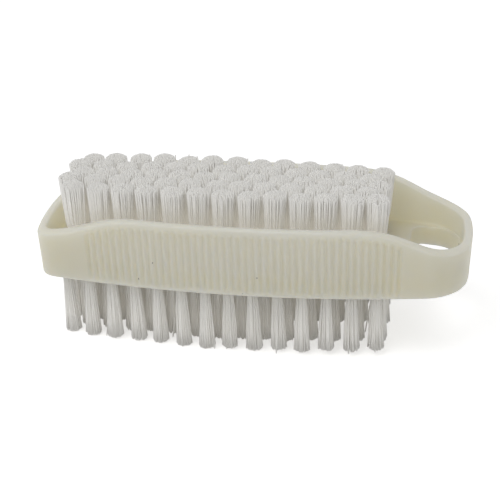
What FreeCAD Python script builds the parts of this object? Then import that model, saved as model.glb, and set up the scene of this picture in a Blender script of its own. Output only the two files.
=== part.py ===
"""Two-sided nail brush: a moulded handle block with staple-set bristle tufts above and below.

Frame, in millimetres: the tips of the lower bristles stand on Z = 0 with +Z up, the brush lies along X with
its slotted end towards +X, and Y runs across it. The origin is under the middle of the block.
"""
import FreeCAD, Part
import math
import os

V = FreeCAD.Vector

# Handle block, seen from above
handle_length = 120.8
handle_width = 45.6
side_bulge_radius = 306.0
inner_side_bulge_radius = 235.0
blunt_end_radius = 84.0
blunt_corner_radius = 5.0
slot_end_radius = 60.0
slot_corner_radius = 13.4

# Brush and its handle block, seen from the side
brush_height = 45.7
grip_height = 20.3
blunt_end_height = 13.3
slot_end_height = 12.4
rim_run_out_length = 1.2
blunt_rise_length = 32.9
slot_fall_length = 33.9
blunt_rise_share = 0.46
slot_fall_share = 0.50
wall_lean_width = 0.75

# Handle block, its walls and edges
wall_thickness = 2.4
web_thickness = 5.8
rim_bevel_width = 0.8
floor_bevel_width = 0.8

# Slot through the web
slot_length = 14.2
slot_nose_wall_thickness = 2.45
slot_side_inset = 5.0
slot_far_corner_radius = 8.5
slot_near_corner_radius = 3.4
slot_bevel_width = 0.3

# Grip ribs
rib_groove_pitch = 1.944
rib_blunt_end_margin = 16.8
rib_slot_end_margin = 18.7
rib_groove_depth = 0.3
rib_groove_width = 1.2
rib_fade_length = 1.5
rib_rim_margin = 1.2

# Bristle tufts and their holes
tuft_side_count = 6
hole_side_count = 6
tuft_foot_width_top = 3.1
tuft_foot_width_bottom = 2.6
tuft_tip_width_top = 5.7
tuft_tip_width_bottom = 4.9
tuft_hole_depth = 2.3
tuft_side_clearance = 0.25
tuft_seat_clearance = 0.02
bristle_length_bottom = 19.8
top_trim_fall_height = 2.3
top_trim_fall_length = 45.0

# Upper field of tufts; its rows are counted from the near side, the first one odd
top_row_count = 5
top_tufts_per_row = 13
top_side_margin = 10.6
top_odd_blunt_margin = 11.5
top_odd_slot_margin = 9.2
top_even_blunt_margin = 9.0
top_even_slot_margin = 12.6
top_row_bow_share = 0.18
top_splay_share = 0.015

# Lower field of tufts, counted in the same way
bottom_row_count = 7
bottom_tufts_per_row = 14
bottom_side_margin = 5.5
bottom_odd_blunt_margin = 7.7
bottom_odd_slot_margin = 8.2
bottom_even_blunt_margin = 12.0
bottom_even_slot_margin = 7.4
bottom_row_bow_share = 0.34

# Anchor wires
anchor_thickness = 0.4
anchor_height = 0.9
anchor_end_clearance = 0.05

# Room that the cutting shapes have beyond the block, and how near a point must be to count as on a face
cut_overrun = 5.0
match_tolerance = 0.01

# Levels and sizes that several pieces share
half_length = handle_length / 2
half_width = handle_width / 2
web_bottom_z = bristle_length_bottom
web_top_z = web_bottom_z + web_thickness
bristle_length_top = brush_height - web_top_z
rim_top_z = web_bottom_z + grip_height
blunt_rim_z = web_bottom_z + blunt_end_height
slot_rim_z = web_bottom_z + slot_end_height
slot_start = half_length - slot_nose_wall_thickness - slot_length
top_row_last = slot_start - top_odd_slot_margin
top_field_centre = (top_row_last - half_length + top_even_blunt_margin) / 2


def corner_arc(half_len, half_wid, side_radius, end_radius, corner_radius):
    """Corner arc between a bulged side and a bulged end, tangent to both.

    Gives the corner's point on the side, its middle and its point on the end, for the +X +Y quarter.
    """
    side_centre = V(0, half_wid - side_radius, 0)
    end_centre = V(half_len - end_radius, 0, 0)
    reach_side = side_radius - corner_radius
    reach_end = end_radius - corner_radius
    apart = end_centre - side_centre
    distance = apart.Length
    along = (reach_side ** 2 - reach_end ** 2 + distance ** 2) / (2 * distance)
    across = math.sqrt(reach_side ** 2 - along ** 2)
    apart.normalize()
    centre = side_centre + apart * along + V(apart.y, -apart.x, 0) * across
    towards_side = (centre - side_centre).normalize()
    towards_end = (centre - end_centre).normalize()
    towards_middle = (towards_side + towards_end).normalize()
    return [centre + way * corner_radius for way in (towards_side, towards_middle, towards_end)]


def bulge_y(x, half_wid, side_radius):
    """Y of a bulged side at a place along the brush."""
    return half_wid - side_radius + math.sqrt(side_radius ** 2 - x ** 2)


def arc(start, middle, end):
    """Edge along the arc through three points."""
    return Part.Arc(start, middle, end).toShape()


def turned(point, x_way, y_way, level):
    """Point of the +X +Y quarter taken to another quarter and height."""
    return V(point.x * x_way, point.y * y_way, level)


def block_outline(inset, level, bulge_radius):
    """Closed plan outline at a height, moved inwards everywhere by the inset from one with a given side bulge."""
    half_len = half_length - inset
    half_wid = half_width - inset
    side_radius = bulge_radius - inset
    ends = {
        1: corner_arc(half_len, half_wid, side_radius, slot_end_radius - inset, slot_corner_radius - inset),
        -1: corner_arc(half_len, half_wid, side_radius, blunt_end_radius - inset, blunt_corner_radius - inset),
    }
    edges = []
    for x_way, y_way in ((1, 1), (-1, 1), (-1, -1), (1, -1)):
        on_side, middle, on_end = [turned(p, x_way, y_way, level) for p in ends[x_way]]
        edges.append(arc(on_side, middle, on_end))
    for x_way in (1, -1):
        on_end = ends[x_way][2]
        nose = V(half_len * x_way, 0, level)
        edges.append(arc(turned(on_end, x_way, -1, level), nose, turned(on_end, x_way, 1, level)))
    for y_way in (1, -1):
        right = turned(ends[1][0], 1, y_way, level)
        left = turned(ends[-1][0], -1, y_way, level)
        edges.append(arc(right, V(0, half_wid * y_way, level), left))
    return Part.Wire(Part.__sortEdges__(edges))


def lean_at(level):
    """How far the leaning wall stands outside its foot at a height."""
    return wall_lean_width * (level - web_bottom_z) / grip_height


def leaning_solid(inset, low, high, bulge_radius):
    """Solid between two heights whose sides lean as the wall does, moved inwards by the inset."""
    lower = block_outline(inset - lean_at(low), low, bulge_radius)
    upper = block_outline(inset - lean_at(high), high, bulge_radius)
    return Part.makeLoft([lower, upper], True, True)


def rim_curve(start, end, share):
    """S-shaped stretch of the rim, level at both ends; the share says how far each end holds its level."""
    hold = V((end.x - start.x) * share, 0, 0)
    curve = Part.BezierCurve()
    curve.setPoles([start, start + hold, end - hold, end])
    return curve


def rim_curves():
    """The two S-shaped stretches of the rim, at the blunt end and at the slotted end."""
    reach = half_length + rim_run_out_length
    rise = rim_curve(V(-reach, 0, blunt_rim_z), V(-reach + blunt_rise_length, 0, rim_top_z), blunt_rise_share)
    fall = rim_curve(V(reach - slot_fall_length, 0, rim_top_z), V(reach, 0, slot_rim_z), slot_fall_share)
    return rise, fall


def rim_height(x):
    """Height of the rim at a place along the brush."""
    rise, fall = rim_curves()
    for curve in (rise, fall):
        start, end = curve.StartPoint.x, curve.EndPoint.x
        if start <= x <= end:
            upright = Part.Line(V(x, 0, 0), V(x, 0, rim_top_z))
            return curve.intersectCC(upright)[0].Z
    return rim_top_z


def above_rim():
    """Everything above the rim, as one prism right across the brush."""
    rise, fall = rim_curves()
    top = rim_top_z + cut_overrun
    corner_left = V(rise.StartPoint.x, 0, top)
    corner_right = V(fall.EndPoint.x, 0, top)
    edges = [
        Part.makeLine(corner_left, rise.StartPoint),
        rise.toShape(),
        Part.makeLine(rise.EndPoint, fall.StartPoint),
        fall.toShape(),
        Part.makeLine(fall.EndPoint, corner_right),
        Part.makeLine(corner_right, corner_left),
    ]
    face = Part.Face(Part.Wire(edges))
    face.translate(V(0, -half_width - cut_overrun, 0))
    return face.extrude(V(0, handle_width + 2 * cut_overrun, 0))


def rim_edges(shell, upper):
    """Edges that run along the rim: they lie on the skin of the prism that cut it, and don't cross the wall."""
    found = []
    for edge in shell.Edges:
        if edge.BoundBox.XLength < match_tolerance:
            continue
        spread = (edge.FirstParameter, (edge.FirstParameter + edge.LastParameter) / 2, edge.LastParameter)
        points = [Part.Vertex(edge.valueAt(place)) for place in spread]
        if all(point.distToShape(upper)[0] < match_tolerance for point in points):
            found.append(edge)
    return found


def edges_at_level(shape, level):
    """Edges that lie flat at a height."""
    found = []
    for edge in shape.Edges:
        box = edge.BoundBox
        if abs(box.ZMin - level) < match_tolerance and abs(box.ZMax - level) < match_tolerance:
            found.append(edge)
    return found


def block_shell():
    """Web and wall of the block, with its softened rim and floor corner."""
    outside = leaning_solid(0, web_bottom_z, rim_top_z + cut_overrun, side_bulge_radius)
    inside = leaning_solid(wall_thickness, web_top_z, rim_top_z + cut_overrun, inner_side_bulge_radius)
    upper = above_rim()
    shell = outside.cut(inside).cut(upper)
    shell = shell.makeChamfer(rim_bevel_width, rim_edges(shell, upper))
    return shell.makeChamfer(floor_bevel_width, edges_at_level(shell, web_top_z))


def slot_prism():
    """D-shaped prism: straight towards the bristles, and running beside the wall round the nose."""
    half_wid = half_width - slot_side_inset
    side_radius = side_bulge_radius - slot_side_inset
    half_len = half_length - slot_nose_wall_thickness
    corner = corner_arc(half_len, half_wid, side_radius, slot_end_radius - slot_nose_wall_thickness,
                        slot_far_corner_radius)
    low = web_bottom_z - cut_overrun
    side_middle = (slot_start + corner[0].x) / 2
    near = V(slot_start, bulge_y(slot_start, half_wid, side_radius), 0)
    middle = V(side_middle, bulge_y(side_middle, half_wid, side_radius), 0)
    edges = [Part.makeLine(turned(near, 1, -1, low), turned(near, 1, 1, low))]
    for way in (1, -1):
        edges.append(arc(*[turned(p, 1, way, low) for p in (near, middle, corner[0])]))
        edges.append(arc(*[turned(p, 1, way, low) for p in corner]))
    edges.append(arc(turned(corner[2], 1, -1, low), V(half_len, 0, low), turned(corner[2], 1, 1, low)))
    prism = Part.Face(Part.Wire(Part.__sortEdges__(edges)))
    prism = prism.extrude(V(0, 0, web_thickness + 2 * cut_overrun))
    near_edges = [e for e in prism.Edges if abs(e.BoundBox.XMax - slot_start) < match_tolerance
                  and e.BoundBox.ZLength > web_thickness]
    return prism.makeFillet(slot_near_corner_radius, near_edges)


def slot_mouth_edges(block, level):
    """Edges of the slot's mouth on one face of the web."""
    return [e for e in edges_at_level(block, level)
            if e.BoundBox.XMin > slot_start - match_tolerance
            and e.BoundBox.XMax < half_length - slot_nose_wall_thickness + match_tolerance
            and e.BoundBox.YMax < half_width - slot_side_inset]


def rib_groove(place, y_way):
    """Cutter for one V-shaped grip groove, which follows the lean of the wall and fades out below the rim."""
    angle = place / side_bulge_radius
    outwards = V(math.sin(angle), math.cos(angle) * y_way, 0)
    along = V(outwards.y, -outwards.x, 0)
    centre = V(0, (half_width - side_bulge_radius) * y_way, 0)

    def section(level, depth):
        skin = centre + outwards * (side_bulge_radius + lean_at(level)) + V(0, 0, level)
        spread = rib_groove_width / 2 * (depth + rib_groove_depth) / rib_groove_depth
        return [skin - outwards * depth,
                skin + outwards * rib_groove_depth + along * spread,
                skin + outwards * rib_groove_depth - along * spread]

    end = rim_height(side_bulge_radius * math.sin(angle)) - rib_rim_margin
    straight_end = end - rib_fade_length
    low = section(web_bottom_z - cut_overrun, rib_groove_depth)
    middle = section(straight_end, rib_groove_depth)
    return tapered_bundle(low, middle).fuse(tapered_bundle(middle, section(end, 0)))


def rib_grooves():
    """Cutters for the grip grooves of both long sides."""
    first = -half_length + rib_blunt_end_margin
    span = half_length - rib_slot_end_margin - first
    gaps = round(span / rib_groove_pitch)
    places = [first + number * span / gaps for number in range(gaps + 1)]
    return [rib_groove(place, way) for place in places for way in (1, -1)]


def polygon(x, y, level, width, side_count):
    """Corner points of a regular polygon that fits in a circle of a given width."""
    points = []
    for number in range(side_count):
        angle = (number + 0.5) * 2 * math.pi / side_count
        points.append(V(x + math.cos(angle) * width / 2, y + math.sin(angle) * width / 2, level))
    return points


def face_of(points):
    """Flat face with the given corners."""
    return Part.Face(Part.makePolygon(points + points[:1]))


def tapered_bundle(low, high):
    """Solid between two polygons of as many corners, one above the other."""
    faces = [face_of(low), face_of(high)]
    for number in range(len(low)):
        after = (number + 1) % len(low)
        faces.append(face_of([low[number], low[after], high[after], high[number]]))
    solid = Part.Solid(Part.Shell(faces))
    if solid.Volume < 0:
        solid.reverse()
    return solid


class Seat:
    """One tuft's place: its foot on the web and the middle of its tip."""

    def __init__(self, x, y, tip_x, tip_y, tip_z):
        self.x = x
        self.y = y
        self.tip_x = tip_x
        self.tip_y = tip_y
        self.tip_z = tip_z


def spots(number, row_count, tuft_count, side_margin, bow_share, odd_margins, even_margins):
    """Places of one row's tufts on the web. The row draws in towards both ends of the brush, as its sides do."""
    blunt_margin, slot_margin = even_margins if number % 2 else odd_margins
    across = (half_width - side_margin) * (2 * number / (row_count - 1) - 1)
    start = -half_length + blunt_margin
    pitch = (slot_start - slot_margin - start) / (tuft_count - 1)
    places = [start + column * pitch for column in range(tuft_count)]
    return [(x, across * (1 - bow_share * (x / half_length) ** 2)) for x in places]


def top_rows():
    """Seats of the upper field, row by row. Its tips spread a little and are trimmed lower towards the slot."""
    odd_margins = (top_odd_blunt_margin, top_odd_slot_margin)
    even_margins = (top_even_blunt_margin, top_even_slot_margin)
    spread = 1 + top_splay_share
    fall_start = top_row_last - top_trim_fall_length
    rows = []
    for number in range(top_row_count):
        places = spots(number, top_row_count, top_tufts_per_row, top_side_margin, top_row_bow_share,
                       odd_margins, even_margins)
        seats = []
        for x, y in places:
            fall = top_trim_fall_height * max(x - fall_start, 0) / top_trim_fall_length
            tip_x = top_field_centre + (x - top_field_centre) * spread
            seats.append(Seat(x, y, tip_x, y * spread, web_top_z + bristle_length_top - fall))
        rows.append(seats)
    return rows


def bottom_rows():
    """Seats of the lower field, row by row. Its tips lie in the plane that the brush rests on."""
    odd_margins = (bottom_odd_blunt_margin, bottom_odd_slot_margin)
    even_margins = (bottom_even_blunt_margin, bottom_even_slot_margin)
    rows = []
    for number in range(bottom_row_count):
        places = spots(number, bottom_row_count, bottom_tufts_per_row, bottom_side_margin, bottom_row_bow_share,
                       odd_margins, even_margins)
        rows.append([Seat(x, y, x, y, 0) for x, y in places])
    return rows


def hole(seat, mouth_z, floor_z, foot_width):
    """Cutter for one tuft hole, from outside its mouth to its floor."""
    mouth = polygon(seat.x, seat.y, mouth_z, foot_width + 2 * tuft_side_clearance, hole_side_count)
    return face_of(mouth).extrude(V(0, 0, floor_z - mouth_z))


def tuft(seat, floor_z, foot_width, tip_width):
    """One bundle of bristles, which stands on its anchor wire and widens from its foot to its tip."""
    way = math.copysign(1, seat.tip_z - floor_z)
    foot_z = floor_z + way * (anchor_height + tuft_seat_clearance)
    foot = polygon(seat.x, seat.y, foot_z, foot_width, tuft_side_count)
    tip = polygon(seat.tip_x, seat.tip_y, seat.tip_z, tip_width, tuft_side_count)
    return tapered_bundle(foot, tip)


def anchor(seat, floor_z, foot_width):
    """One flat wire across the floor of its hole."""
    way = math.copysign(1, seat.tip_z - floor_z)
    hole_width = foot_width + 2 * tuft_side_clearance
    length = hole_width * math.cos(math.pi / hole_side_count) - 2 * anchor_end_clearance
    low = min(floor_z, floor_z + way * anchor_height)
    corner = V(seat.x - length / 2, seat.y - anchor_thickness / 2, low)
    return Part.makeBox(length, anchor_thickness, anchor_height, corner)


def handle_block(upper_seats, lower_seats, top_floor_z, bottom_floor_z):
    """The finished moulding with its slot, grip grooves and blind holes."""
    block = block_shell().cut(slot_prism())
    block = block.makeChamfer(slot_bevel_width, slot_mouth_edges(block, web_bottom_z))
    block = block.cut(rib_grooves())
    holes = [hole(seat, web_top_z + cut_overrun, top_floor_z, tuft_foot_width_top) for seat in upper_seats]
    holes += [hole(seat, web_bottom_z - cut_overrun, bottom_floor_z, tuft_foot_width_bottom)
              for seat in lower_seats]
    return block.cut(holes)


def export(shape, name):
    """Write one piece to its own file."""
    shape.exportStep("parts/" + name + ".step")
    print(name, len(shape.Solids), "solids, valid:", shape.isValid())


def main():
    """Build every piece and write it out."""
    os.makedirs("parts", exist_ok=True)
    top_floor_z = web_top_z - tuft_hole_depth
    bottom_floor_z = web_bottom_z + tuft_hole_depth
    fields = (
        ("top", top_rows(), top_floor_z, tuft_foot_width_top, tuft_tip_width_top),
        ("bottom", bottom_rows(), bottom_floor_z, tuft_foot_width_bottom, tuft_tip_width_bottom),
    )
    seats = [[seat for row in rows for seat in row] for _, rows, _, _, _ in fields]
    export(handle_block(seats[0], seats[1], top_floor_z, bottom_floor_z), "handle_block")
    for side, rows, floor_z, foot_width, tip_width in fields:
        for number, row in enumerate(rows, start=1):
            tufts = Part.makeCompound([tuft(seat, floor_z, foot_width, tip_width) for seat in row])
            anchors = Part.makeCompound([anchor(seat, floor_z, foot_width) for seat in row])
            export(tufts, f"{side}_tufts_row_{number}")
            export(anchors, f"{side}_anchors_row_{number}")


if __name__ == "__main__":
    main()
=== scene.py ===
"""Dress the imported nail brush: its ivory block, its nylon bristles, and a small white studio."""
import logging
import math
from dataclasses import dataclass, field
from enum import Enum

import bpy
import numpy as np
from mathutils import Matrix, Vector
from mathutils.geometry import delaunay_2d_cdt


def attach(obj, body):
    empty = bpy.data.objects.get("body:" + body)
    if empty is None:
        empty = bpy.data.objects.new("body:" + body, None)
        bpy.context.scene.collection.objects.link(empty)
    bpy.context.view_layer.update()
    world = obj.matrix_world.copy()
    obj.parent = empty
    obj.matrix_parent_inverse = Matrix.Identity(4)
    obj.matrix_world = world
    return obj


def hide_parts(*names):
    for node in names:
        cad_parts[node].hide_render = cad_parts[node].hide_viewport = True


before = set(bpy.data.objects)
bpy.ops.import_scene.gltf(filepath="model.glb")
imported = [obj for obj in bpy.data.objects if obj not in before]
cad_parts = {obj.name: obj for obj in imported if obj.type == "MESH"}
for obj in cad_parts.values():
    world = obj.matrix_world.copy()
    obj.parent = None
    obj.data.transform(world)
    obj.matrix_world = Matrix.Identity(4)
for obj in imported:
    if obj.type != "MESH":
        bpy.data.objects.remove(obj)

LOG = logging.getLogger("nail_brush")
MM = 0.001
QUARTER_TURN = math.pi / 2
FULL_TURN = math.pi * 2
GOLDEN_TURN = math.pi * (3 - math.sqrt(5))
NEWTON_STEPS = 30
FAR = 99.0
TINY = 1e-9
WELD = 1e-7

Array = np.ndarray
Pair = tuple[float, float]
Triple = tuple[float, float, float]
Material = bpy.types.Material
Node = bpy.types.Node
Object = bpy.types.Object
Socket = bpy.types.NodeSocket


class Side(Enum):
    """The two faces of the web that carry tufts."""

    TOP = "top"
    BOTTOM = "bottom"


class Kind(Enum):
    """Socket types of a node group's inputs."""

    GEOMETRY = "NodeSocketGeometry"
    FLOAT = "NodeSocketFloat"
    INTEGER = "NodeSocketInt"
    MATERIAL = "NodeSocketMaterial"


class NodeMaker:
    """Adds nodes to one tree and joins them."""

    def __init__(self, tree: bpy.types.NodeTree) -> None:
        """Keep the tree."""
        self.tree = tree

    def node(self, kind: str, fed: dict[str | int, object] | None = None, **settings: object) -> Node:
        """Add a node.

        Args:
            kind: The node's type name.
            fed: Values or sockets for its inputs, by name or number.
            settings: Attributes to set on it.

        Returns:
            The new node.
        """
        made = self.tree.nodes.new(kind)
        for key, value in settings.items():
            setattr(made, key, value)
        for key, value in (fed or {}).items():
            self.feed(made.inputs[key], value)
        return made

    def feed(self, socket: Socket, value: object) -> None:
        """Set an input socket, or link it.

        Args:
            socket: The socket to fill.
            value: A number, a vector, a colour or another socket.
        """
        if isinstance(value, Socket):
            self.tree.links.new(value, socket)
        else:
            socket.default_value = value

    def math(self, operation: str, first: object, second: object = 0.0) -> Socket:
        """Do one sum on numbers or their sockets, by Blender's name for it."""
        return self.node("ShaderNodeMath", {0: first, 1: second}, operation=operation).outputs[0]

    def plus(self, first: object, second: object) -> Socket:
        """Add two numbers."""
        return self.math("ADD", first, second)

    def times(self, first: object, second: object) -> Socket:
        """Multiply two numbers."""
        return self.math("MULTIPLY", first, second)


class ShaderMaker(NodeMaker):
    """Builds one material's node tree."""

    def __init__(self, name: str) -> None:
        """Start an empty material.

        Args:
            name: The material's name.
        """
        self.material = bpy.data.materials.new(name)
        self.material.use_nodes = True
        super().__init__(self.material.node_tree)
        self.tree.nodes.clear()

    def show(self, shader: Node) -> Material:
        """Make a shader the surface, and give the material."""
        self.node("ShaderNodeOutputMaterial", {"Surface": shader.outputs[0]})
        return self.material

    def coordinates(self) -> Socket:
        """Give the object coordinates, in metres."""
        return self.node("ShaderNodeTexCoord").outputs["Object"]

    def noise(self, scale: float, detail: float, rough: float = 0.5) -> Socket:
        """Add noise with some cells for each metre, about 0.5 on average."""
        fed = {"Scale": scale, "Detail": detail, "Roughness": rough, "Vector": self.coordinates()}
        return self.node("ShaderNodeTexNoise", fed).outputs["Fac"]

    def spread(self, value: Socket, low: float, high: float, start: float = 0.3, end: float = 0.7) -> Socket:
        """Map a value from the range start to end to the range low to high, clamped."""
        fed = {"Value": value, "From Min": start, "From Max": end, "To Min": low, "To Max": high}
        return self.node("ShaderNodeMapRange", fed).outputs["Result"]

    def mix(self, share: Socket, first: Triple | Socket, second: Triple | Socket) -> Socket:
        """Mix two colours or their sockets, by the share of the second."""
        first, second = ((*colour, 1.0) if isinstance(colour, tuple) else colour for colour in (first, second))
        return self.node("ShaderNodeMix", {"Factor": share, 6: first, 7: second}, data_type="RGBA").outputs[2]


class TreeMaker(NodeMaker):
    """Builds one geometry node tree with named inputs."""

    def __init__(self, name: str, floats: tuple[str, ...], integers: tuple[str, ...]) -> None:
        """Start a tree that takes a geometry, numbers and a material, and gives a geometry.

        Args:
            name: The tree's name.
            floats: Names of its inputs that are lengths or shares.
            integers: Names of its inputs that are whole numbers.
        """
        super().__init__(bpy.data.node_groups.new(name, "GeometryNodeTree"))
        self.source, self.sink = self.node("NodeGroupInput"), self.node("NodeGroupOutput")
        kinds = {"Geometry": Kind.GEOMETRY, **dict.fromkeys(floats, Kind.FLOAT),
                 **dict.fromkeys(integers, Kind.INTEGER), "Material": Kind.MATERIAL}
        new_socket = self.tree.interface.new_socket
        self.identifiers = {label: new_socket(name=label, in_out="INPUT", socket_type=kind.value).identifier
                            for label, kind in kinds.items()}
        new_socket(name="Geometry", in_out="OUTPUT", socket_type=Kind.GEOMETRY.value)

    def given(self, name: str) -> Socket:
        """Give the socket of a named input."""
        return self.source.outputs[name]

    def vector(self, operation: str, first: object, second: object) -> Socket:
        """Do one sum on vectors, by Blender's name for it. For SCALE the second value is a number."""
        fed = {0: first, "Scale" if operation == "SCALE" else 1: second}
        return self.node("ShaderNodeVectorMath", fed, operation=operation).outputs["Vector"]

    def joined(self, x: object, y: object, z: object) -> Socket:
        """Make a vector of three numbers."""
        return self.node("ShaderNodeCombineXYZ", {0: x, 1: y, 2: z}).outputs[0]

    def number_of(self, name: str) -> Socket:
        """Read an attribute that is a number."""
        made = self.node("GeometryNodeInputNamedAttribute", {"Name": name}, data_type="FLOAT")
        return made.outputs["Attribute"]

    def vector_of(self, name: str) -> Socket:
        """Read an attribute that is a vector."""
        made = self.node("GeometryNodeInputNamedAttribute", {"Name": name}, data_type="FLOAT_VECTOR")
        return made.outputs["Attribute"]

    def store(self, geometry: Socket, name: str, data_type: str, value: Socket) -> Socket:
        """Keep a number or a vector, by its data type, as a named attribute of the points."""
        fed = {"Name": name, "Geometry": geometry, "Value": value}
        return self.node("GeometryNodeStoreNamedAttribute", fed, data_type=data_type, domain="POINT").outputs[0]

    def random(self, low: float, high: float, salt: int) -> Socket:
        """Give a random number for each point. The salt is added to the seed, so that each use differs."""
        fed = {2: low, 3: high, "Seed": self.plus(self.given("Seed"), float(salt))}
        return self.node("FunctionNodeRandomValue", fed, data_type="FLOAT").outputs[1]

    def random_way(self, salt: int) -> Socket:
        """Give a random level vector for each point, from two salts that follow each other."""
        return self.joined(self.random(-1.0, 1.0, salt), self.random(-1.0, 1.0, salt + 1), 0.0)

    def close(self, geometry: Socket) -> None:
        """Realize the instances, set the material and end the tree."""
        real = self.node("GeometryNodeRealizeInstances", {"Geometry": geometry})
        dressed = self.node("GeometryNodeSetMaterial",
                            {"Geometry": real.outputs["Geometry"], "Material": self.given("Material")})
        self.feed(self.sink.inputs["Geometry"], dressed.outputs["Geometry"])

    def bake(self, piece: Object, values: dict[str, object]) -> None:
        """Run the tree on an object and make the result its plain mesh, with no modifier.

        Args:
            piece: The object that holds the tree's input.
            values: The named inputs.
        """
        modifier = piece.modifiers.new("shape", "NODES")
        modifier.node_group = self.tree
        for name, value in values.items():
            modifier[self.identifiers[name]] = value
        evaluated = piece.evaluated_get(bpy.context.evaluated_depsgraph_get())
        mesh = bpy.data.meshes.new_from_object(evaluated)
        mesh.name = piece.name
        piece.modifiers.remove(modifier)
        piece.data = mesh


@dataclass(frozen=True)
class IvoryPlastic:
    """Warm off-white moulded plastic that lets light through: slightly mottled, with a few dark specks."""

    name: str = "ivory_plastic"
    light: Triple = (0.735, 0.705, 0.590)
    deep: Triple = (0.705, 0.670, 0.545)
    speck: Triple = (0.05, 0.035, 0.02)
    roughness: Pair = (0.36, 0.50)
    mottle_scale: float = 45.0
    mottle_detail: float = 4.0
    mottle_rough: float = 0.6
    grain_scale: float = 260.0
    pore_scale: float = 900.0
    pore_depth: float = 0.0002
    pore_strength: float = 0.08
    light_reach: Triple = (0.0145, 0.0129, 0.0096)
    refraction: float = 1.5
    speck_cells: float = 110.0
    speck_rarity: float = 0.965
    speck_edge: Pair = (0.02, 0.045)
    spot_core: float = 0.6
    spots: tuple[tuple[float, float, float, float], ...] = (
        (-0.0295, -0.0215, 0.0228, 0.00040), (-0.0249, -0.0221, 0.0283, 0.00022),
        (0.0039, -0.0230, 0.0259, 0.00020), (0.0557, 0.0165, 0.0237, 0.00050),
        (0.0577, 0.0075, 0.0237, 0.00055))

    def specks(self, maker: ShaderMaker) -> Socket:
        """Find where the specks are: rare random ones, and those that the photograph shows.

        Args:
            maker: The material's maker.

        Returns:
            One in a speck, zero outside.
        """
        cells = maker.node("ShaderNodeTexVoronoi", {"Scale": self.speck_cells, "Vector": maker.coordinates()},
                           feature="F1")
        pick = maker.node("ShaderNodeSeparateColor", {0: cells.outputs["Color"]}).outputs[0]
        dark = maker.times(maker.math("GREATER_THAN", pick, self.speck_rarity),
                           maker.spread(cells.outputs["Distance"], 1.0, 0.0, *self.speck_edge))
        for *place, size in self.spots:
            apart = maker.node("ShaderNodeVectorMath", {0: maker.coordinates(), 1: place}, operation="DISTANCE")
            near = maker.spread(apart.outputs["Value"], 1.0, 0.0, size * self.spot_core, size)
            dark = maker.math("MAXIMUM", dark, near)
        return dark

    def build(self) -> Material:
        """Make the material."""
        maker = ShaderMaker(self.name)
        cloud, pores = (maker.noise(scale, self.mottle_detail, self.mottle_rough)
                        for scale in (self.mottle_scale, self.pore_scale))
        tint = maker.mix(maker.spread(cloud, 0.0, 1.0), self.light, self.deep)
        bump = maker.node("ShaderNodeBump", {
            "Strength": self.pore_strength, "Distance": self.pore_depth, "Height": pores})
        return maker.show(maker.node("ShaderNodeBsdfPrincipled", {
            "Base Color": maker.mix(self.specks(maker), tint, self.speck),
            "Roughness": maker.spread(maker.noise(self.grain_scale, detail=3.0), *self.roughness),
            "IOR": self.refraction,
            "Subsurface Weight": 1.0,
            "Subsurface Radius": self.light_reach,
            "Subsurface Scale": 1.0,
            "Normal": bump.outputs["Normal"],
        }))


@dataclass(frozen=True)
class NylonFilament:
    """White nylon with a soft sheen, a little different from one filament to the next.

    The nylon carries a faint painted glow, an emission that stands in for the light which real nylon passes on
    from filament to filament, more often than a render follows it. Its strength goes from the first to the
    second of painted_glows between two heights, so as to lift the shaded parts of the tufts.
    """

    name: str
    heights: Pair
    painted_glows: Pair
    light: Triple = (0.99, 0.98, 0.955)
    deep: Triple = (0.965, 0.95, 0.91)
    painted_glow_colour: Triple = (1.0, 0.95, 0.84)
    roughness: Pair = (0.30, 0.48)
    refraction: float = 1.53
    tone_share: float = 0.7
    cloud_scale: float = 160.0
    grain_scale: float = 700.0

    def build(self) -> Material:
        """Make the material."""
        maker = ShaderMaker(self.name)
        tone = maker.node("ShaderNodeAttribute", attribute_name="tone").outputs["Fac"]
        share = maker.plus(maker.times(tone, self.tone_share),
                           maker.times(maker.noise(self.cloud_scale, detail=2.0), 1 - self.tone_share))
        height = maker.node("ShaderNodeSeparateXYZ", {0: maker.coordinates()}).outputs["Z"]
        return maker.show(maker.node("ShaderNodeBsdfPrincipled", {
            "Base Color": maker.mix(share, self.light, self.deep),
            "Roughness": maker.spread(maker.noise(self.grain_scale, detail=2.0), *self.roughness),
            "IOR": self.refraction,
            "Sheen Weight": 1.0,
            "Sheen Roughness": 0.5,
            # Painted light: an emission that brightens the nylon where it lies in shade, in place of light
            # passed between filaments.
            "Emission Color": (*self.painted_glow_colour, 1.0),
            "Emission Strength": maker.spread(height, *self.painted_glows, *self.heights),
        }))


@dataclass(frozen=True)
class AnchorMetal:
    """Plain drawn metal of the anchor wires."""

    name: str = "anchor_metal"
    colour: Triple = (0.60, 0.58, 0.52)
    dullness: float = 0.8
    cloud_scale: float = 1500.0
    grain_scale: float = 2500.0
    roughness: Pair = (0.30, 0.45)

    def build(self) -> Material:
        """Make the material."""
        maker = ShaderMaker(self.name)
        dull = tuple(part * self.dullness for part in self.colour)
        return maker.show(maker.node("ShaderNodeBsdfPrincipled", {
            "Metallic": 1.0,
            "Base Color": maker.mix(maker.noise(self.cloud_scale, detail=3.0), self.colour, dull),
            "Roughness": maker.spread(maker.noise(self.grain_scale, detail=2.0), *self.roughness),
        }))


@dataclass(frozen=True)
class StudioWhite:
    """Matt white of the studio floor, which the camera sees as plain white with the soft shadow kept."""

    name: str = "studio_white"
    colour: Triple = (0.90, 0.90, 0.90)
    lift: float = 0.5

    def build(self) -> Material:
        """Make the material."""
        maker = ShaderMaker(self.name)
        diffuse = maker.node("ShaderNodeBsdfDiffuse", {"Color": (*self.colour, 1.0)})
        glow = maker.node("ShaderNodeEmission", {"Strength": maker.times(background_rays(maker), self.lift)})
        return maker.show(maker.node("ShaderNodeAddShader", {0: diffuse.outputs[0], 1: glow.outputs[0]}))


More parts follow.
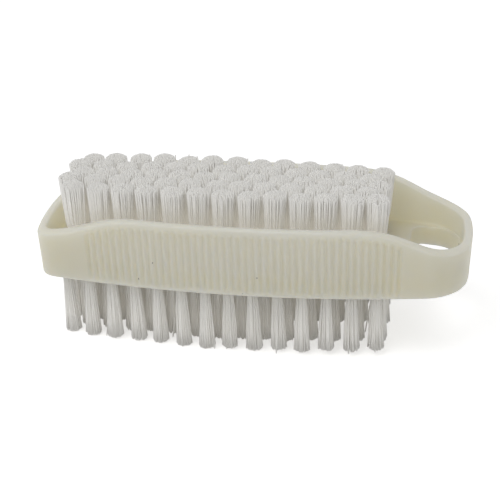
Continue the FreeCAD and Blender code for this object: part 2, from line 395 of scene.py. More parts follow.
def background_rays(maker: NodeMaker) -> Socket:
    """Tell the rays that show the background from those that light the object.

    Args:
        maker: The maker of the tree that asks.

    Returns:
        One for camera, glossy and transmission rays, zero for the others.
    """
    rays = maker.node("ShaderNodeLightPath").outputs
    mirrored = maker.math("MAXIMUM", rays["Is Glossy Ray"], rays["Is Transmission Ray"])
    return maker.math("MAXIMUM", rays["Is Camera Ray"], mirrored)


@dataclass(frozen=True)
class Turn:
    """One arc of an outline, walked counter-clockwise round the block."""

    centre: Pair
    radius: float
    start: float
    end: float

    def flipped_x(self) -> "Turn":
        """Give the arc mirrored to the other end."""
        return Turn((-self.centre[0], self.centre[1]), self.radius, math.pi - self.end, math.pi - self.start)

    def flipped_y(self) -> "Turn":
        """Give the arc mirrored to the other side."""
        return Turn((self.centre[0], -self.centre[1]), self.radius, -self.end, -self.start)

    def at(self, angles: Array) -> tuple[Array, Array]:
        """Find the points at some angles of the arc, and the outward directions there."""
        ways = np.stack([np.cos(angles), np.sin(angles)], 1)
        return np.array(self.centre) + ways * self.radius, ways

    def steps(self, least: int, step: float, turn_steps: float) -> Array:
        """Step along the arc, without its last point.

        Args:
            least: Fewest steps.
            step: Longest step.
            turn_steps: Steps for each radian.

        Returns:
            The angles.
        """
        sweep = self.end - self.start
        count = max(least, round(self.radius * sweep / step), round(sweep * turn_steps))
        return np.linspace(self.start, self.end, count + 1)[:-1]


def quarter(half_len: float, half_wid: float, side_radius: float, end_radius: float,
            corner_radius: float) -> list[Turn]:
    """Work out the arcs of one +X +Y quarter, from the end's nose to the middle of the side.

    Args:
        half_len: Reach of the end's nose along X.
        half_wid: Reach of the side's middle along Y.
        side_radius: Radius of the bulged side.
        end_radius: Radius of the bulged end.
        corner_radius: Radius of the corner that joins them.

    Returns:
        The end, the corner and the side.
    """
    side = np.array([0.0, half_wid - side_radius])
    end = np.array([half_len - end_radius, 0.0])
    reach_side, reach_end = side_radius - corner_radius, end_radius - corner_radius
    apart = end - side
    distance = float(np.linalg.norm(apart))
    along = (reach_side ** 2 - reach_end ** 2 + distance ** 2) / (2 * distance)
    across = math.sqrt(reach_side ** 2 - along ** 2)
    apart = apart / distance
    corner = side + apart * along + np.array([apart[1], -apart[0]]) * across
    to_end = math.atan2(corner[1] - end[1], corner[0] - end[0])
    to_side = math.atan2(corner[1] - side[1], corner[0] - side[0])
    return [
        Turn(tuple(end), end_radius, 0.0, to_end),
        Turn(tuple(corner), corner_radius, to_end, to_side),
        Turn(tuple(side), side_radius, to_side, QUARTER_TURN),
    ]


@dataclass(kw_only=True)
class Web:
    """Sizes of the flat web that the wall, the tufts and the slot share. Millimetres."""

    half_length: float = 60.4
    half_width: float = 22.8
    slot_start: float = 43.75
    web_bottom_z: float = 19.8
    web_top_z: float = 25.6


@dataclass
class Rim(Web):
    """The rim's height along the brush, S-shaped at both ends. Millimetres."""

    run_out: float = 1.2
    top: float = 40.1
    blunt: float = 33.1
    slot: float = 32.2
    blunt_rise: float = 32.9
    slot_fall: float = 33.9
    blunt_share: float = 0.46
    slot_share: float = 0.50
    least_slope: float = 0.05

    def s_curve(self, place: Array, low: float, high: float, share: float) -> Array:
        """Follow a curve that leaves and arrives level.

        Args:
            place: Share of the way along it, from 0 to 1.
            low: Height at its start.
            high: Height at its end.
            share: How far each end holds its level.

        Returns:
            The heights.
        """
        place = np.clip(place, 0.0, 1.0)
        t = place.copy()
        for _ in range(NEWTON_STEPS):
            value = 3 * t * (1 - t) ** 2 * share + 3 * t ** 2 * (1 - t) * (1 - share) + t ** 3
            slope = 3 * share * (1 - 4 * t + 3 * t ** 2) + 3 * (1 - share) * (2 * t - 3 * t ** 2) + 3 * t ** 2
            t = np.clip(t - (value - place) / np.maximum(slope, self.least_slope), 0.0, 1.0)
        return low + (high - low) * (3 * t ** 2 - 2 * t ** 3)

    def height(self, x: Array) -> Array:
        """Give the rim's height at places along the brush."""
        reach = self.half_length + self.run_out
        rise = self.s_curve((x + reach) / self.blunt_rise, self.blunt, self.top, self.blunt_share)
        fall = self.s_curve((reach - x) / self.slot_fall, self.slot, self.top, self.slot_share)
        return np.minimum(rise, fall)


@dataclass
class Field(Web):
    """One face's tufts: how many, where, and how far they reach. Millimetres."""

    side: Side
    row_count: int
    row_size: int
    side_margin: float
    odd_margins: Pair
    even_margins: Pair
    bow_share: float
    splay_share: float
    foot_width: float
    tip_width: float
    lean: float = 0.0
    near_fall_share: float = 0.1
    fall_share_gain: float = 0.55
    tip_z: float = 45.7
    trim_fall: float = 2.3
    trim_length: float = 45.0
    trim_end: float = 34.55
    field_centre: float = -8.425

    def row(self, number: int) -> list[tuple[Vector, Vector]]:
        """Place one row's tufts.

        Args:
            number: The row, counted from 0 on the near side.

        Returns:
            The foot and the tip of each tuft.
        """
        blunt, slot = self.even_margins if number % 2 else self.odd_margins
        depth = number / (self.row_count - 1)
        across = (self.half_width - self.side_margin) * (2 * depth - 1)
        start = -self.half_length + blunt
        pitch = (self.slot_start - slot - start) / (self.row_size - 1)
        spread = 1 + self.splay_share
        placed = []
        for column in range(self.row_size):
            x = start + column * pitch
            y = across * (1 - self.bow_share * (x / self.half_length) ** 2)
            fall = self.trim_fall * min(max(x - self.trim_end + self.trim_length, 0) / self.trim_length, 1)
            if self.side is Side.TOP:
                fall *= self.near_fall_share + self.fall_share_gain * depth
                tip = Vector((self.field_centre + (x - self.field_centre) * spread,
                              y * spread + self.lean * (1 - depth), self.tip_z - fall))
                placed.append((Vector((x, y, self.web_top_z)), tip))
            else:
                placed.append((Vector((x, y, self.web_bottom_z)), Vector((x, y, fall))))
        return placed

    def rows(self) -> list[list[tuple[Vector, Vector]]]:
        """Place every row."""
        return [self.row(number) for number in range(self.row_count)]


@dataclass
class HandleBlock(Web):
    """The moulded block: web, bulged and leaning wall, ribs, slot and tuft holes. Millimetres."""

    rim: Rim
    fields: list[Field]
    side_radius: float = 306.0
    inner_side_radius: float = 235.0
    blunt_end_radius: float = 84.0
    blunt_corner_radius: float = 5.0
    slot_end_radius: float = 60.0
    slot_corner_radius: float = 13.4
    grip_height: float = 20.3
    lean: float = 0.75
    wall: float = 2.4
    rim_round: float = 0.75
    floor_round: float = 1.1
    foot_round: float = 0.65
    plate_inset: float = 1.6
    slot_nose_wall: float = 2.45
    slot_inset: float = 5.0
    slot_far_radius: float = 8.5
    slot_near_radius: float = 3.4
    slot_round: float = 0.12
    hole_clearance: float = 0.15
    hole_depth: float = 2.3
    hole_sides: int = 20
    plain_steps: int = 8
    wall_steps: int = 80
    foot_rings: int = 5
    rim_rings: int = 8
    floor_rings: int = 6
    slot_rings: int = 4
    slot_zone: float = 4.0
    round_gap: float = 0.04
    least_round: float = 0.03
    off_side: float = 1000.0
    sharp_angle: float = 50.0
    rib_first: float = -43.6
    rib_last: float = 41.7
    rib_gaps: int = 44
    rib_columns: int = 10
    rib_depth: float = 0.55
    rib_width: float = 1.75
    rib_fade: float = 1.8
    rib_foot_fade: float = 1.2
    rib_margin: float = 1.1
    points: list[Triple] = field(default_factory=list)
    faces: list[tuple[int, ...]] = field(default_factory=list)
    flat: list[bool] = field(default_factory=list)

    def ends(self, side_radius: float, inset: float) -> list[list[Turn]]:
        """Work out the quarters of the slotted and the blunt end, moved inwards by an inset."""
        return [quarter(self.half_length - inset, self.half_width - inset, side_radius - inset, end - inset,
                        corner - inset)
                for end, corner in ((self.slot_end_radius, self.slot_corner_radius),
                                    (self.blunt_end_radius, self.blunt_corner_radius))]

    def outline(self) -> tuple[Array, Array, Array]:
        """Walk round the outer foot of the wall, with closer steps where the ribs are.

        Returns:
            The points, their outward directions, and each one's place along a ribbed side, or far off it.
        """
        slot, blunt = self.ends(self.side_radius, 0.0)
        far = slot[:2] + [Turn(slot[2].centre, slot[2].radius, slot[2].start, math.pi - blunt[2].start)]
        far += [turn.flipped_x() for turn in reversed(blunt[:2])]
        near = [turn.flipped_y() for turn in reversed(far)]
        pitch = (self.rib_last - self.rib_first) / self.rib_gaps
        spots, ways, places = [], [], []
        for turn in far + near:
            if turn.radius == self.side_radius:
                middle = math.copysign(QUARTER_TURN, turn.start + turn.end)
                ends = sorted(self.side_radius * (angle - middle) for angle in (turn.start, turn.end))
                sign = -1.0 if middle > 0 else 1.0
                low, high = sorted((sign * (self.rib_first - pitch / 2), sign * (self.rib_last + pitch / 2)))
                plain = [np.linspace(first, last, self.plain_steps)[:-1]
                         for first, last in ((ends[0], low), (high, ends[1]))]
                ribbed = np.linspace(low, high, (self.rib_gaps + 1) * self.rib_columns + 1)[:-1]
                along = np.concatenate([plain[0], ribbed, plain[1]])
                spot, way = turn.at(along / self.side_radius + middle)
                places.append(along * sign)
            else:
                spot, way = turn.at(turn.steps(least=6, step=1.1, turn_steps=14))
                places.append(np.full(len(spot), self.off_side))
            spots.append(spot)
            ways.append(way)
        return np.concatenate(spots), np.concatenate(ways), np.concatenate(places)

    def slot_outline(self) -> tuple[Array, Array]:
        """Walk round the slot.

        Returns:
            The points and the directions out of the slot.
        """
        inset = self.slot_inset
        turns = quarter(self.half_length - self.slot_nose_wall, self.half_width - inset,
                        self.side_radius - inset, self.slot_end_radius - self.slot_nose_wall,
                        self.slot_far_radius)
        side = turns[2]
        reach = self.side_radius - inset - self.slot_near_radius
        centre_x = self.slot_start + self.slot_near_radius
        centre_y = side.centre[1] + math.sqrt(reach ** 2 - centre_x ** 2)
        to_side = math.atan2(centre_y - side.centre[1], centre_x)
        half = turns[:2] + [
            Turn(side.centre, side.radius, side.start, to_side),
            Turn((centre_x, centre_y), self.slot_near_radius, to_side, math.pi),
        ]
        spots, ways = [], []
        for turn in half + [turn.flipped_y() for turn in reversed(half)]:
            spot, way = turn.at(turn.steps(least=4, step=1.0, turn_steps=9))
            spots.append(spot)
            ways.append(way)
        return np.concatenate(spots), np.concatenate(ways)

    def lean_at(self, z: Array | float) -> Array | float:
        """Give how far the wall stands outside its foot at a height."""
        return self.lean * (z - self.web_bottom_z) / self.grip_height

    def wall_depths(self, spots: Array, ways: Array) -> Array:
        """Measure the wall, which is thinnest at the middle of the sides and at the noses.

        Args:
            spots: Points of the outer foot.
            ways: Outward directions there.

        Returns:
            The wall's thickness at each point.
        """
        slot, blunt = self.ends(self.inner_side_radius, self.wall)
        far = slot + [turn.flipped_x() for turn in reversed(blunt)]
        loop = np.concatenate([turn.at(np.linspace(turn.start, turn.end, self.wall_steps)[:-1])[0]
                               for turn in far + [turn.flipped_y() for turn in reversed(far)]])
        return reaches(spots, -ways, loop)

    def floor_rounds(self, spots: Array, ways: Array, depths: Array) -> Array:
        """Shrink the round at the foot of the inner wall where the slot comes near.

        Args:
            spots: Points of the outer foot.
            ways: Outward directions there.
            depths: The wall's thickness there.

        Returns:
            The round's radius at each point.
        """
        inner = spots - ways * (depths - self.lean_at(self.web_top_z))[:, None]
        room = reaches(inner, -ways, self.slot_outline()[0])
        room[spots[:, 0] < self.slot_start - self.slot_zone] = self.floor_round * 2
        return np.clip(room - self.slot_round - self.round_gap, self.least_round, self.floor_round)

    def add_points(self, spots: Array) -> Array:
        """Add points to the mesh, and give their numbers."""
        self.points.extend(map(tuple, spots))
        return np.arange(len(self.points) - len(spots), len(self.points))

    def add_loop(self, spots: Array, z: float) -> Array:
        """Add flat points at one height, and give their numbers."""
        return self.add_points(np.column_stack([spots, np.full(len(spots), z)]))

    def add_face(self, corners: Array | tuple[int, ...], flat: bool) -> None:
        """Add a face by its point numbers, shaded flat or smooth."""
        self.faces.append(tuple(int(number) for number in corners))
        self.flat.append(flat)

    def band(self, low: Array, high: Array) -> None:
        """Join two closed loops of as many points by faces, the second outside or above the first."""
        for corners in zip(low, np.roll(low, -1), np.roll(high, -1), high):
            self.add_face(corners, flat=False)

    def plate(self, border: Array, openings: list[Array], upwards: bool) -> None:
        """Fill a flat plate between its border and its openings.

        Args:
            border: Point numbers of the border.
            openings: Point numbers of each opening.
            upwards: True if the plate faces up.
        """
        numbers = np.concatenate([border] + openings)
        flat = [Vector(self.points[number][:2]) for number in numbers]
        edges, start = [], 0
        for loop in [border] + openings:
            count = len(loop)
            edges += [(start + step, start + (step + 1) % count) for step in range(count)]
            start += count
        made = delaunay_2d_cdt(flat, edges, [], 1, WELD)
        spots, faces, sources = np.array([tuple(spot) for spot in made[0]]), made[2], made[3]
        loops = [np.array([self.points[number][:2] for number in loop]) for loop in openings]
        boxes = [(loop.min(0), loop.max(0)) for loop in loops]
        for face in faces:
            middle = spots[list(face)].mean(0)
            if any(np.all(middle > low) and np.all(middle < high) and inside(middle, loop)
                   for (low, high), loop in zip(boxes, loops)):
                continue
            corners = [numbers[sources[index][0]] for index in face]
            (ax, ay), (bx, by), (cx, cy) = (self.points[number][:2] for number in corners)
            counter = (bx - ax) * (cy - ay) - (by - ay) * (cx - ax) > 0
            self.add_face(corners if counter == upwards else corners[::-1], flat=True)

    def hole(self, foot: Vector, radius: float, upwards: bool) -> Array:
        """Sink one blind hole for a tuft.

        Args:
            foot: Middle of its mouth.
            radius: Its radius.
            upwards: True if it opens upwards.

        Returns:
            Point numbers of its mouth.
        """
        turns = np.arange(self.hole_sides) * FULL_TURN / self.hole_sides
        ring = np.stack([foot.x + radius * np.cos(turns), foot.y + radius * np.sin(turns)], 1)
        mouth = self.add_loop(ring, foot.z)
        floor = self.add_loop(ring, foot.z + (-self.hole_depth if upwards else self.hole_depth))
        self.band(*((mouth, floor) if upwards else (floor, mouth)))
        self.add_face(floor if upwards else floor[::-1], flat=True)
        return mouth

    def slot_wall(self) -> tuple[Array, Array]:
        """Build the slot's wall with its softened mouths.

        Returns:
            Point numbers of its upper and of its lower mouth.
        """
        spots, ways = self.slot_outline()
        curve = bend(self.slot_round, self.slot_rings)
        levels = [(out, self.web_top_z - down) for out, down in curve]
        levels += [(out, self.web_bottom_z + up) for up, out in curve]
        loops = [self.add_loop(spots + ways * out, z) for out, z in levels]
        for upper, lower in zip(loops, loops[1:]):
            self.band(upper, lower)
        return loops[0], loops[-1]

    def profile(self, spots: Array, ways: Array, depths: Array, rounds: Array
                ) -> tuple[list[Array], list[Array]]:
        """Work out the wall's rings, from the underside, over the rim and down to the floor inside.

        Args:
            spots: Points of the outer foot.
            ways: Outward directions there.
            depths: The wall's thickness there.
            rounds: Radius of the round at the foot of the inner wall.

        Returns:
            The rings' points and the depth share that a rib groove has there.
        """
        rings, weights = [], []
        rim_z = self.rim.height(spots[:, 0])

        def ring(out: Array | float, z: Array | float, weight: float = 0.0) -> None:
            """Add one ring, so far outside the foot and so high."""
            z = np.broadcast_to(z, len(spots)).astype(float)
            out = np.broadcast_to(out, len(spots)) + self.lean_at(z)
            rings.append(np.column_stack([spots + ways * out[:, None], z]))
            weights.append(np.full(len(spots), weight))

        ring(-self.plate_inset, self.web_bottom_z)
        for inwards, up in bend(self.foot_round, self.foot_rings):
            ring(-inwards, self.web_bottom_z + up)
        fade_top = rim_z - self.rib_margin
        fade_foot = fade_top - self.rib_fade
        low = self.web_bottom_z + self.foot_round + self.rib_foot_fade
        ring(0.0, low - self.rib_foot_fade / 2, 0.5)
        for share in (0.0, 0.25, 0.5, 0.75, 1.0):
            ring(0.0, low + (fade_foot - low) * share, 1.0)
        for share in (0.2, 0.4, 0.6, 0.8, 1.0):
            ring(0.0, fade_foot + (fade_top - fade_foot) * share, 0.5 + 0.5 * math.cos(math.pi * share))
        rim_bend = bend(self.rim_round, self.rim_rings)
        crossing = [(-inwards, down) for down, inwards in rim_bend]
        crossing += [(inwards - depths, down) for down, inwards in reversed(rim_bend)]
        for out, down in crossing:
            ring(out, self.rim.height(spots[:, 0] + ways[:, 0] * (out + self.lean_at(rim_z))) - down)
        inner_top = rings[-1][:, 2]
        inner_foot = self.web_top_z + rounds
        for share in (0.25, 0.5, 0.75):
            ring(-depths, inner_top + (inner_foot - inner_top) * share)
        for up, inwards in bend(rounds, self.floor_rings):
            ring(-depths - inwards, self.web_top_z + up)
        return rings, weights

    def build(self, material: Material) -> Object:
        """Build and dress the block.

        Args:
            material: Its plastic.

        Returns:
            The finished piece.
        """
        spots, ways, places = self.outline()
        depths = self.wall_depths(spots, ways)
        rings, weights = self.profile(spots, ways, depths, self.floor_rounds(spots, ways, depths))
        loops = [self.add_points(ring) for ring in rings]
        for lower, upper in zip(loops, loops[1:]):
            self.band(lower, upper)
        ribbed = len(self.points)
        upper_mouth, lower_mouth = self.slot_wall()
        for side, border, mouth in ((Side.TOP, loops[-1], upper_mouth), (Side.BOTTOM, loops[0], lower_mouth)):
            openings = [mouth] + [self.hole(foot, given.foot_width / 2 + self.hole_clearance, side is Side.TOP)
                                  for given in self.fields if given.side is side
                                  for row in given.rows() for foot, _ in row]
            self.plate(border, openings, side is Side.TOP)
        mesh = bpy.data.meshes.new("block_body")
        mesh.from_pydata([tuple(value * MM for value in point) for point in self.points], [], self.faces)
        mesh.polygons.foreach_set("use_smooth", [not flat for flat in self.flat])
        extra = len(self.points) - ribbed
        outwards = np.zeros((len(self.points), 3), np.float32)
        outwards[:ribbed, :2] = np.tile(ways, (len(rings), 1))
        give(mesh, "rib_place", np.concatenate([np.tile(places, len(rings)), np.full(extra, self.off_side)]))
        give(mesh, "rib_share", np.concatenate(weights + [np.zeros(extra)]))
        give(mesh, "outwards", outwards)
        piece = stand("block_body", mesh)
        self.rib_tree().bake(piece, {
            "Rib Depth": self.rib_depth * MM,
            "Rib Width": self.rib_width,
            "Rib Pitch": (self.rib_last - self.rib_first) / self.rib_gaps,
            "First Rib": self.rib_first,
            "Rib Count": self.rib_gaps + 1,
            "Material": material,
        })
        piece.data.set_sharp_from_angle(angle=math.radians(self.sharp_angle))
        return piece

    def rib_tree(self) -> TreeMaker:
        """Make the tree that presses the rib grooves into the wall."""
        tree = TreeMaker("rib_grooves", ("Rib Depth", "Rib Width", "Rib Pitch", "First Rib"), ("Rib Count",))
        given = tree.given
        steps = tree.math("DIVIDE", tree.math("SUBTRACT", tree.number_of("rib_place"), given("First Rib")),
                          given("Rib Pitch"))
        last = tree.math("SUBTRACT", given("Rib Count"), 1.0)
        number = tree.math("MINIMUM", tree.math("MAXIMUM", tree.math("ROUND", steps), 0.0), last)
        apart = tree.times(tree.math("ABSOLUTE", tree.math("SUBTRACT", steps, number)), given("Rib Pitch"))
        share = tree.math("MINIMUM", tree.math("DIVIDE", apart, tree.times(given("Rib Width"), 0.5)), 1.0)
        wave = tree.math("COSINE", tree.times(share, QUARTER_TURN))
        depth = tree.times(tree.times(tree.times(wave, wave), given("Rib Depth")), tree.number_of("rib_share"))
        inwards = tree.vector("SCALE", tree.vector_of("outwards"), tree.times(depth, -1.0))
        moved = tree.node("GeometryNodeSetPosition", {"Geometry": given("Geometry"), "Offset": inwards})
        tree.close(moved.outputs["Geometry"])
        return tree


def bend(radius: Array | float, count: int) -> list[tuple[Array | float, Array | float]]:
    """Give points of a quarter round by their distances from its two sides, from (radius, 0) to (0, radius)."""
    return [(radius * (1 - math.sin(turn)), radius * (1 - math.cos(turn)))
            for turn in np.linspace(0.0, QUARTER_TURN, count)]


def give(mesh: bpy.types.Mesh, name: str, values: Array) -> None:
    """Give a mesh's points a named attribute, a number or a vector for each."""
    kind, key = ("FLOAT", "value") if values.ndim == 1 else ("FLOAT_VECTOR", "vector")
    mesh.attributes.new(name, kind, "POINT").data.foreach_set(key, values.astype(np.float32).ravel())


def stand(name: str, data: bpy.types.ID) -> Object:
    """Put a new object into the scene.

    Args:
        name: Its name.
        data: Its mesh, lamp or camera.

    Returns:
        The object.
    """
    made = bpy.data.objects.new(name, data)
    bpy.context.scene.collection.objects.link(made)
    return made


def reaches(points: Array, ways: Array, loop: Array) -> Array:
    """Measure from points to a closed loop.

    Args:
        points: Where to start.
        ways: The direction from each point.
        loop: The loop's corners.

    Returns:
        The distance to the nearest crossing along each direction, or a large number if there is none.
    """
    run = np.roll(loop, -1, 0) - loop
    found = np.full(len(points), FAR)
    for number, (point, way) in enumerate(zip(points, ways)):
        wide = way[0] * run[:, 1] - way[1] * run[:, 0]
        wide = np.where(np.abs(wide) < TINY, TINY, wide)
        gap = loop - point
        reach = (gap[:, 0] * run[:, 1] - gap[:, 1] * run[:, 0]) / wide
        share = (gap[:, 0] * way[1] - gap[:, 1] * way[0]) / wide
        hits = reach[(reach > 0) & (share >= 0) & (share <= 1)]
        if len(hits):
            found[number] = hits.min()
    return found


def inside(point: Array, loop: Array) -> bool:
    """Test whether a point lies inside a closed loop.

    Args:
        point: The point.
        loop: The loop's corners.

    Returns:
        True if it does.
    """
    after = np.roll(loop, -1, 0)
    crosses = (loop[:, 1] > point[1]) != (after[:, 1] > point[1])
    with np.errstate(divide="ignore", invalid="ignore"):
        reach = loop[:, 0] + (point[1] - loop[:, 1]) * (after[:, 0] - loop[:, 0]) / (after[:, 1] - loop[:, 1])
    return bool(np.count_nonzero(crosses & (point[0] < reach)) % 2)


@dataclass
class BristleRows:
    """The bristle tufts of one face of the web, row by row. Millimetres."""

    field: Field
    seed: int
    sunk: float = 1.0
    fill_share: float = 2.0
    filament_width: float = 0.32
    sides: int = 4
    segments: int = 3
    bend: float = 0.2
    stray_share: float = 0.02
    stray_reach: float = 2.6
    trim_spread: float = 0.3
    flare: float = 1.0
    wander: float = 0.3
    shortening: float = 0.5
    dome: float = 0.3
    crowding: float = 0.4
    calm: float = 0.07
    turn_jitter: float = 0.2
    dome_power: float = 3.0
    seeds_apart: int = 100

    def plan(self, tree: TreeMaker) -> Socket:
        """Place the foot and the tip of every filament.

        Args:
            tree: The tree, whose input has one point for each tuft.

        Returns:
            Points at the origin, one for each filament, that know its foot, tip, curl and tone.
        """
        given, times, vector = tree.given, tree.times, tree.vector
        copies = tree.node("GeometryNodeDuplicateElements",
                           {"Geometry": given("Geometry"), "Amount": given("Filaments")}, domain="POINT")
        number = copies.outputs["Duplicate Index"]
        out = tree.math("POWER", tree.math("DIVIDE", tree.plus(number, 0.5), given("Filaments")), self.crowding)
        start = tree.plus(tree.number_of("turn"), tree.random(-self.turn_jitter, self.turn_jitter, 1))
        angle = tree.plus(times(number, GOLDEN_TURN), start)
        disc = tree.joined(times(out, tree.math("COSINE", angle)), times(out, tree.math("SINE", angle)), 0.0)
        foot = vector("ADD", tree.vector_of("foot"), vector("SCALE", disc, given("Foot Radius")))
        stray = tree.math("LESS_THAN", tree.random(0.0, 1.0, 2), given("Stray Share"))
        reach = times(given("Stray Reach"), tree.plus(times(stray, 1 - self.calm), self.calm))
        trim = tree.plus(times(tree.random(0.0, 1.0, 5), given("Trim Spread")),
                         times(tree.math("POWER", out, self.dome_power), given("Dome")))
        tip = vector("ADD", tree.vector_of("tip"), vector("SCALE", disc, given("Tip Radius")))
        tip = vector("ADD", tip, vector("SCALE", tree.random_way(3), reach))
        tip = vector("ADD", tip, vector("MULTIPLY", tree.joined(0.0, 0.0, trim), tree.vector_of("trim_way")))
        curl = vector("SCALE", tree.random_way(6), given("Bend"))
        held = copies.outputs["Geometry"]
        for name, value in (("from_spot", foot), ("to_spot", tip), ("curl", curl)):
            held = tree.store(held, name, "FLOAT_VECTOR", value)
        held = tree.store(held, "tone", "FLOAT", tree.random(0.0, 1.0, 8))
        # A plain default value would leave the points where they are, so the origin is a linked vector.
        home = tree.node("GeometryNodeSetPosition", {"Geometry": held, "Position": tree.joined(0.0, 0.0, 0.0)})
        return home.outputs["Geometry"]

    def tree(self) -> TreeMaker:
        """Make the tree that fills each tuft with filaments."""
        tree = TreeMaker(f"{self.field.side.value}_filaments",
                         ("Foot Radius", "Tip Radius", "Filament Radius", "Bend", "Stray Share", "Stray Reach",
                          "Trim Spread", "Flare", "Dome"), ("Filaments", "Seed"))
        vector = tree.vector
        stick = tree.node("GeometryNodeMeshCylinder", {
            "Vertices": self.sides, "Side Segments": self.segments, "Radius": tree.given("Filament Radius"),
            "Depth": 1.0}, fill_type="NGON")
        stood = tree.node("GeometryNodeTransform",
                          {"Geometry": stick.outputs["Mesh"], "Translation": (0.0, 0.0, 0.5)})
        grown = tree.node("GeometryNodeInstanceOnPoints",
                          {"Points": self.plan(tree), "Instance": stood.outputs["Geometry"]})
        real = tree.node("GeometryNodeRealizeInstances", {"Geometry": grown.outputs["Instances"]})
        place = tree.node("GeometryNodeInputPosition").outputs["Position"]
        along = tree.node("ShaderNodeSeparateXYZ", {0: place}).outputs["Z"]
        flare = tree.math("POWER", along, tree.given("Flare"))
        start = tree.vector_of("from_spot")
        run = vector("MULTIPLY", vector("SUBTRACT", tree.vector_of("to_spot"), start),
                     tree.joined(flare, flare, along))
        bow = tree.times(tree.times(along, tree.math("SUBTRACT", 1.0, along)), 4.0)
        line = vector("ADD", vector("ADD", start, run), vector("SCALE", tree.vector_of("curl"), bow))
        skin = vector("MULTIPLY", place, tree.vector_of("skin_way"))
        moved = tree.node("GeometryNodeSetPosition",
                          {"Geometry": real.outputs["Geometry"], "Position": vector("ADD", line, skin)})
        smooth = tree.node("GeometryNodeSetShadeSmooth", {"Geometry": moved.outputs["Geometry"]})
        tree.close(smooth.outputs["Geometry"])
        return tree

    def build(self, material: Material) -> list[Object]:
        """Build and dress every row.

        Args:
            material: The filaments' nylon.

        Returns:
            One finished piece for each row.
        """
        tree = self.tree()
        pieces = []
        rng = np.random.default_rng(self.seed)
        way = -1.0 if self.field.side is Side.BOTTOM else 1.0
        for number, row in enumerate(self.field.rows(), start=1):
            name = f"{self.field.side.value}_bristles_row_{number}"
            count = len(row)
            feet = np.array([tuple(foot - Vector((0, 0, way * self.sunk))) for foot, _ in row]) * MM
            drift = rng.uniform(-self.wander, self.wander, (count, 3))
            drift[:, 2] = -way * rng.uniform(0, self.shortening, count) ** 2 / self.shortening
            tips = (np.array([tuple(tip) for _, tip in row]) + drift) * MM
            mesh = bpy.data.meshes.new(name)
            mesh.from_pydata([tuple(foot) for foot in feet], [], [])
            for key, values in (("foot", feet), ("tip", tips),
                                ("trim_way", np.tile([0.0, 0.0, -way], (count, 1))),
                                ("skin_way", np.tile([1.0, way, 0.0], (count, 1))),
                                ("turn", rng.uniform(0, FULL_TURN, count))):
                give(mesh, key, values)
            piece = stand(name, mesh)
            tree.bake(piece, {
                "Foot Radius": (self.field.foot_width - self.filament_width) / 2 * MM,
                "Tip Radius": (self.field.tip_width - self.filament_width) / 2 * MM,
                "Filament Radius": self.filament_width / 2 * MM,
                "Bend": self.bend * MM,
                "Stray Share": self.stray_share,
                "Stray Reach": self.stray_reach * MM,
                "Trim Spread": self.trim_spread * MM,
                "Flare": self.flare,
                "Dome": self.dome * MM,
                "Filaments": round(self.fill_share * (self.field.foot_width / self.filament_width) ** 2),
                "Seed": self.seed * self.seeds_apart + number,
                "Material": material,
            })
            pieces.append(piece)
        return pieces


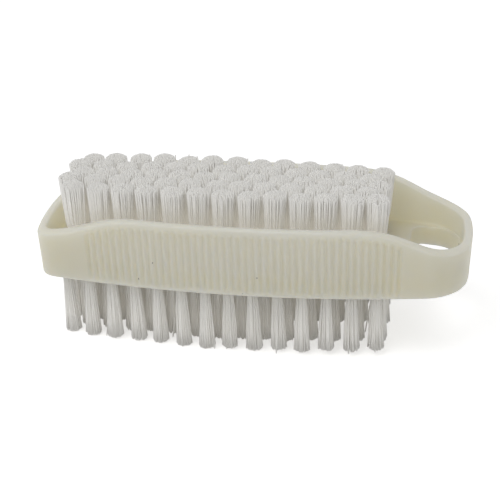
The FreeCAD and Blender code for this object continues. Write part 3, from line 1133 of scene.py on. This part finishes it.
@dataclass
class Studio:
    """Floor, lights and camera. Metres and degrees."""

    focal_px: float = 1188.0
    distance: float = 0.3423
    pitch: float = 27.18
    heading: float = -9.85
    roll: float = -1.64
    side_shift: float = -0.00117
    rise_shift: float = 0.00205
    origin_shift: Triple = (-0.000577, 0.0, 0.0201)
    picture: float = 500.0
    sensor: float = 36.0
    near_clip: float = 0.01
    far_clip: float = 50.0
    floor_reach: float = 6.0
    lit_spot: Triple = (0.0, 0.0, 0.02)
    world_level: float = 0.49
    lamp_width: float = 0.6

    def floor(self) -> None:
        """Lay the floor."""
        mesh = bpy.data.meshes.new("studio_floor")
        reach = self.floor_reach
        mesh.from_pydata([(-reach, -reach, 0), (reach, -reach, 0), (reach, reach, 0), (-reach, reach, 0)], [],
                         [(0, 1, 2, 3)])
        mesh.materials.append(StudioWhite().build())
        made = stand("studio_floor", mesh)

    def lamp(self, name: str, place: Triple, watts: float) -> None:
        """Hang a soft square lamp that faces the brush.

        Args:
            name: The lamp's name.
            place: Where it hangs.
            watts: Its power.
        """
        data = bpy.data.lights.new(name, "AREA")
        data.size = self.lamp_width
        data.energy = watts
        made = stand(name, data)
        made.location = place
        made.rotation_euler = (Vector(self.lit_spot) - Vector(place)).to_track_quat("-Z", "Y").to_euler()

    def light(self) -> None:
        """Set the world and the lamps."""
        world = bpy.data.worlds.new("studio_world")
        world.use_nodes = True
        maker = NodeMaker(world.node_tree)
        level = maker.node("ShaderNodeMapRange", {
            "Value": background_rays(maker), "To Min": self.world_level, "To Max": 1.0})
        back = maker.tree.nodes["Background"]
        maker.feed(back.inputs["Strength"], level.outputs["Result"])
        maker.feed(back.inputs["Color"], (1.0, 1.0, 1.0, 1.0))
        bpy.context.scene.world = world
        self.lamp("lamp_key", place=(-0.32, -0.40, 0.95), watts=2.85)
        self.lamp("lamp_left", place=(-0.9, 0.1, 0.45), watts=0.45)

    def camera(self) -> None:
        """Place the camera where the photographer stood."""
        pitch, roll, heading = (math.radians(value) for value in (self.pitch, self.roll, self.heading))
        right = Vector((1, 0, 0))
        ahead = Vector((0, math.cos(pitch), -math.sin(pitch)))
        up = Vector((0, math.sin(pitch), math.cos(pitch)))
        place = right * self.side_shift + up * self.rise_shift - ahead * self.distance
        right, up = (right * math.cos(roll) + up * math.sin(roll), up * math.cos(roll) - right * math.sin(roll))
        turn = Matrix.Rotation(-heading, 3, "Z")
        axes = [turn @ axis for axis in (right, up, -ahead)]
        place = turn @ place + Vector(self.origin_shift)
        data = bpy.data.cameras.new("camera")
        data.sensor_width = self.sensor
        data.lens = self.focal_px * self.sensor / self.picture
        data.clip_start, data.clip_end = self.near_clip, self.far_clip
        made = stand("camera", data)
        made.matrix_world = Matrix([[axes[column][row] for column in range(3)] + [place[row]]
                                    for row in range(3)] + [[0, 0, 0, 1]])
        bpy.context.scene.camera = made


def finish_piece(piece: Object, node: str) -> None:
    """Put a finished piece in the place of its CAD node.

    Args:
        piece: The piece.
        node: The node that it stands for.
    """
    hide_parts(node)
    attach(piece, "root")
    LOG.info("%s stands for %s: %d points, %d faces", piece.name, node, len(piece.data.vertices),
             len(piece.data.polygons))


def main() -> None:
    """Build every piece, dress it, and set the studio."""
    logging.basicConfig(level=logging.INFO, format="%(name)s: %(message)s")
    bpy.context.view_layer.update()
    ivory, metal = IvoryPlastic().build(), AnchorMetal().build()
    # Painted glow on the nylon: strongest low in the top tufts near the rim and at the bottom tufts' tips near
    # the floor, where they lie in shade.
    top_nylon = NylonFilament("nylon_top", heights=(0.034, 0.0445), painted_glows=(0.12, 0.035)).build()
    bottom_nylon = NylonFilament("nylon_bottom", heights=(0.0, 0.019), painted_glows=(0.095, 0.02)).build()
    top = Field(Side.TOP, row_count=5, row_size=13, side_margin=10.6, odd_margins=(11.5, 9.2),
                even_margins=(9.0, 12.6), bow_share=0.18, splay_share=0.015, foot_width=3.1, tip_width=6.6,
                lean=2.0)
    bottom = Field(Side.BOTTOM, row_count=7, row_size=14, side_margin=5.5, odd_margins=(7.7, 8.2),
                   even_margins=(12.0, 7.4), bow_share=0.34, splay_share=0.0, foot_width=2.5, tip_width=4.8,
                   trim_fall=1.1, trim_length=30.0, trim_end=28.0)
    block = HandleBlock(Rim(), [top, bottom])
    finish_piece(block.build(ivory), "handle_block")
    top_rows = BristleRows(top, seed=3, stray_reach=1.2, flare=0.5, dome=1.1, trim_spread=0.14, fill_share=2.4,
                           filament_width=0.36, bend=0.08)
    for rows, nylon in ((top_rows, top_nylon), (BristleRows(bottom, seed=5), bottom_nylon)):
        for number, piece in enumerate(rows.build(nylon), start=1):
            finish_piece(piece, f"{rows.field.side.value}_tufts_row_{number}")
    for name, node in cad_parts.items():
        if "anchors" in name:
            node.data.materials.clear()
            node.data.materials.append(metal)
            LOG.info("%s keeps its own shape", name)
    studio = Studio()
    studio.floor()
    studio.light()
    studio.camera()
    bpy.context.scene.view_settings.view_transform = "Standard"


if __name__ == "__main__":
    main()
